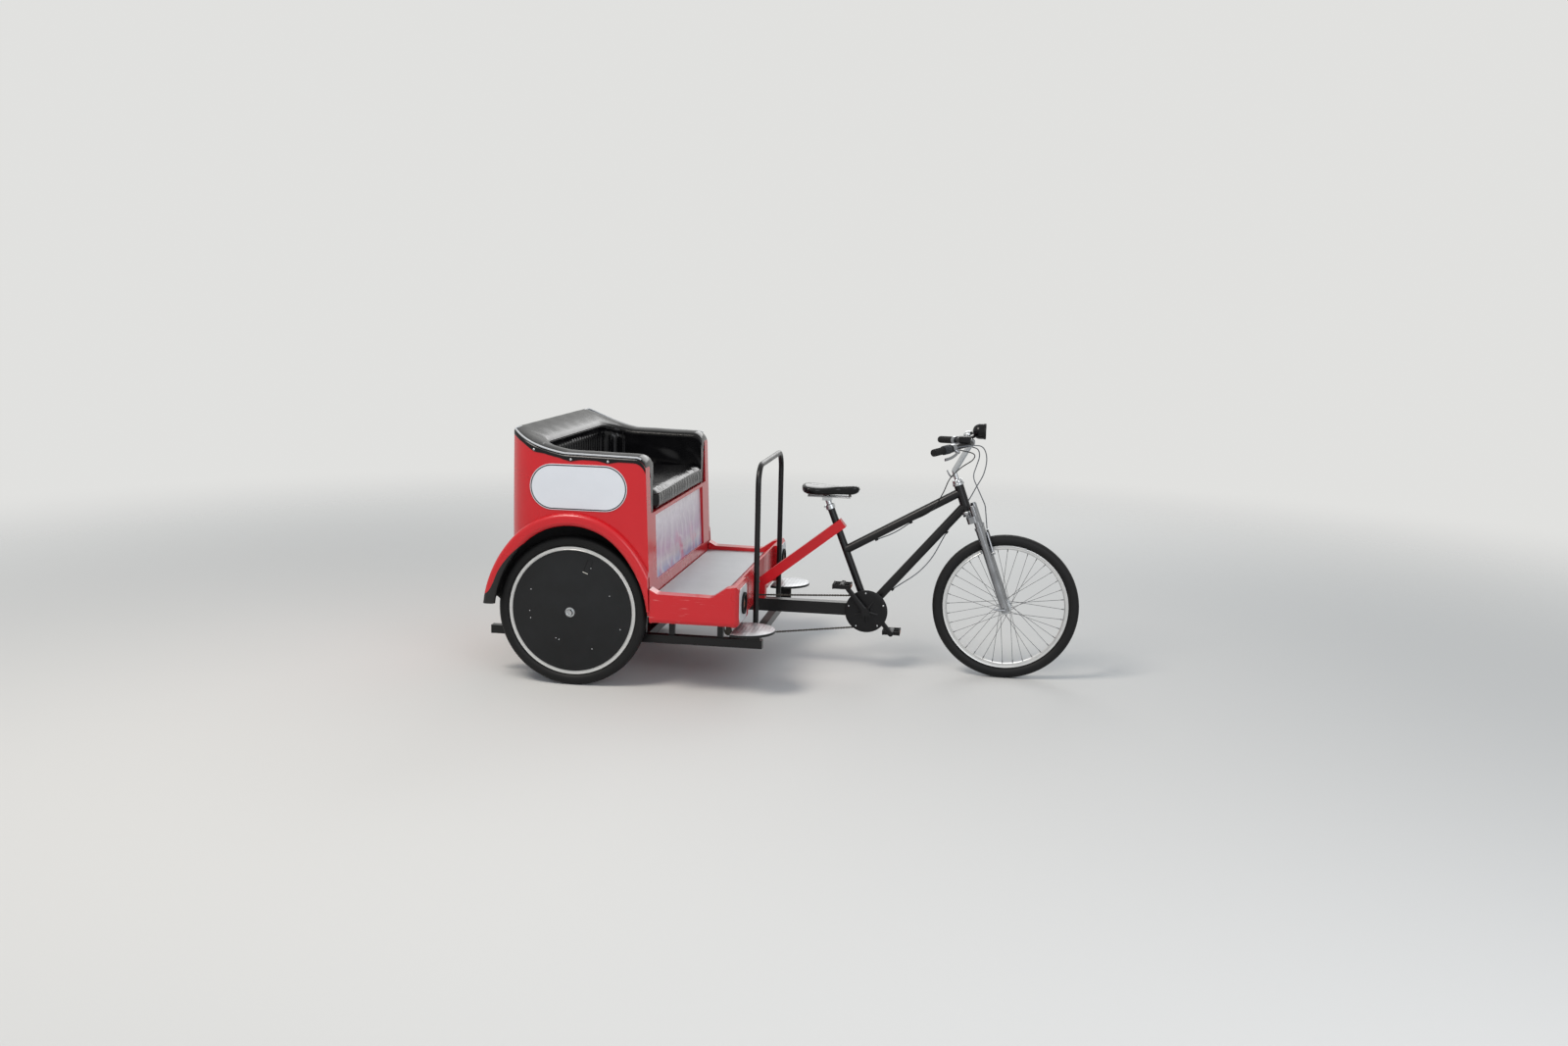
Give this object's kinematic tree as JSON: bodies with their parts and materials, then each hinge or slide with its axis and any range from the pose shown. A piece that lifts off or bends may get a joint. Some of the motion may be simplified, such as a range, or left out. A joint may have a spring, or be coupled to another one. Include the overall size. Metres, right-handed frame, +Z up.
{
  "type": "cycle rickshaw",
  "caption": "Three-wheeled pedal cab: front bicycle frame with a moulded two-seat passenger tub, footwell, grab hoop and side steps over a rear axle.",
  "frame": {"origin": "on the ground under the middle of the overall length and width", "axes": "+X forwards, +Y to the rider's left, +Z up"},
  "size_m": [2.642, 1.34, 1.168],
  "materials": {
    "red_gelcoat": "glossy gelcoat on moulded glass fibre",
    "black_rubber": "matt moulded rubber",
    "aluminium_tread": "ribbed mill finish",
    "printed_panel": null,
    "white_sign": "blank white sheet",
    "black_vinyl": "glossy black vinyl over foam",
    "clear_plate": "greyed clear plate",
    "amber_lens": "amber lens",
    "black_steel": "gloss black paint on steel tube",
    "steel": "oiled steel",
    "silver_alloy": "polished alloy",
    "black_alloy": "black anodised alloy",
    "black_plastic": "black moulded plastic",
    "grey_cable": "grey plastic cable housing",
    "tyre": "black tyre rubber"
  },
  "bodies": {
    "chassis": {"cab_shell": "red_gelcoat", "floor_pan": "red_gelcoat", "floor_mat": "black_rubber", "tread_strip": "aluminium_tread", "seat_front_panel": "printed_panel", "back_pad": "black_vinyl", "side_pad_left": "black_vinyl", "side_pad_right": "black_vinyl", "seat_cushion": "black_vinyl", "side_signs": "white_sign", "lamp_plates": "clear_plate", "lamp_grommets": "black_rubber", "lamp_lenses": "amber_lens", "underframe": "black_steel", "axle_housing": "black_steel", "drive_chain": "steel", "axle_chain": "steel", "jackshaft": "steel", "axle_cog": "steel", "boom": "black_steel", "head_tube": "black_steel", "seat_tube": "black_steel", "top_tube": "black_steel", "down_tube": "black_steel", "diagonal_stay": "red_gelcoat", "seat_post": "silver_alloy", "saddle": "black_vinyl", "grab_hoop": "black_steel", "step_left": "black_rubber", "step_right": "black_rubber", "headset_cups": "silver_alloy", "seat_clamp": "silver_alloy", "chain_tensioner": "steel", "frame_cables": "grey_cable"},
    "steering": {"fork_crown": "silver_alloy", "fork_lowers": "silver_alloy", "front_axle": "steel", "stem": "silver_alloy", "handlebar": "black_alloy", "grips": "black_rubber", "brake_levers": "black_plastic", "headlight": "black_plastic", "bar_fittings": "black_plastic", "front_brake": "silver_alloy", "front_brake_cable": "grey_cable"},
    "front_wheel": {"tyre_front": "tyre", "rim_front": "silver_alloy", "hub_front": "silver_alloy"},
    "rear_wheel_left": {"tyre_rear_left": "tyre", "rim_rear_left": "silver_alloy", "hub_rear_left": "silver_alloy", "cover_rear_left": "black_plastic"},
    "rear_wheel_right": {"tyre_rear_right": "tyre", "rim_rear_right": "silver_alloy", "hub_rear_right": "silver_alloy", "cover_rear_right": "black_plastic"},
    "crank": {"crankset": "black_alloy"},
    "pedal_left": {"pedal_left": "black_rubber"},
    "pedal_right": {"pedal_right": "black_rubber"}
  },
  "joints": [
    {"name": "rear_wheel_left_spin", "type": "hinge", "parent": "chassis", "child": "rear_wheel_left", "pos_m": [-0.901, 0.58, 0.335], "axis": [0, 1, 0], "continuous": true},
    {"name": "rear_wheel_right_spin", "type": "hinge", "parent": "chassis", "child": "rear_wheel_right", "pos_m": [-0.901, -0.58, 0.335], "axis": [0, 1, 0], "continuous": true},
    {"name": "steering_turn", "type": "hinge", "parent": "chassis", "child": "steering", "pos_m": [0.771, 0, 0.831], "axis": [-0.342, 0, 0.9397], "range_deg": [-60, 60]},
    {"name": "front_wheel_spin", "type": "hinge", "parent": "steering", "child": "front_wheel", "pos_m": [0.986, 0, 0.335], "axis": [0, 1, 0], "continuous": true},
    {"name": "crank_turn", "type": "hinge", "parent": "chassis", "child": "crank", "pos_m": [0.349, 0, 0.288], "axis": [0, 1, 0], "continuous": true},
    {"name": "pedal_left_spin", "type": "hinge", "parent": "crank", "child": "pedal_left", "pos_m": [0.45598, 0.131, 0.15588], "axis": [0, 1, 0], "continuous": true},
    {"name": "pedal_right_spin", "type": "hinge", "parent": "crank", "child": "pedal_right", "pos_m": [0.24202, -0.131, 0.42012], "axis": [0, 1, 0], "continuous": true}
  ]
}
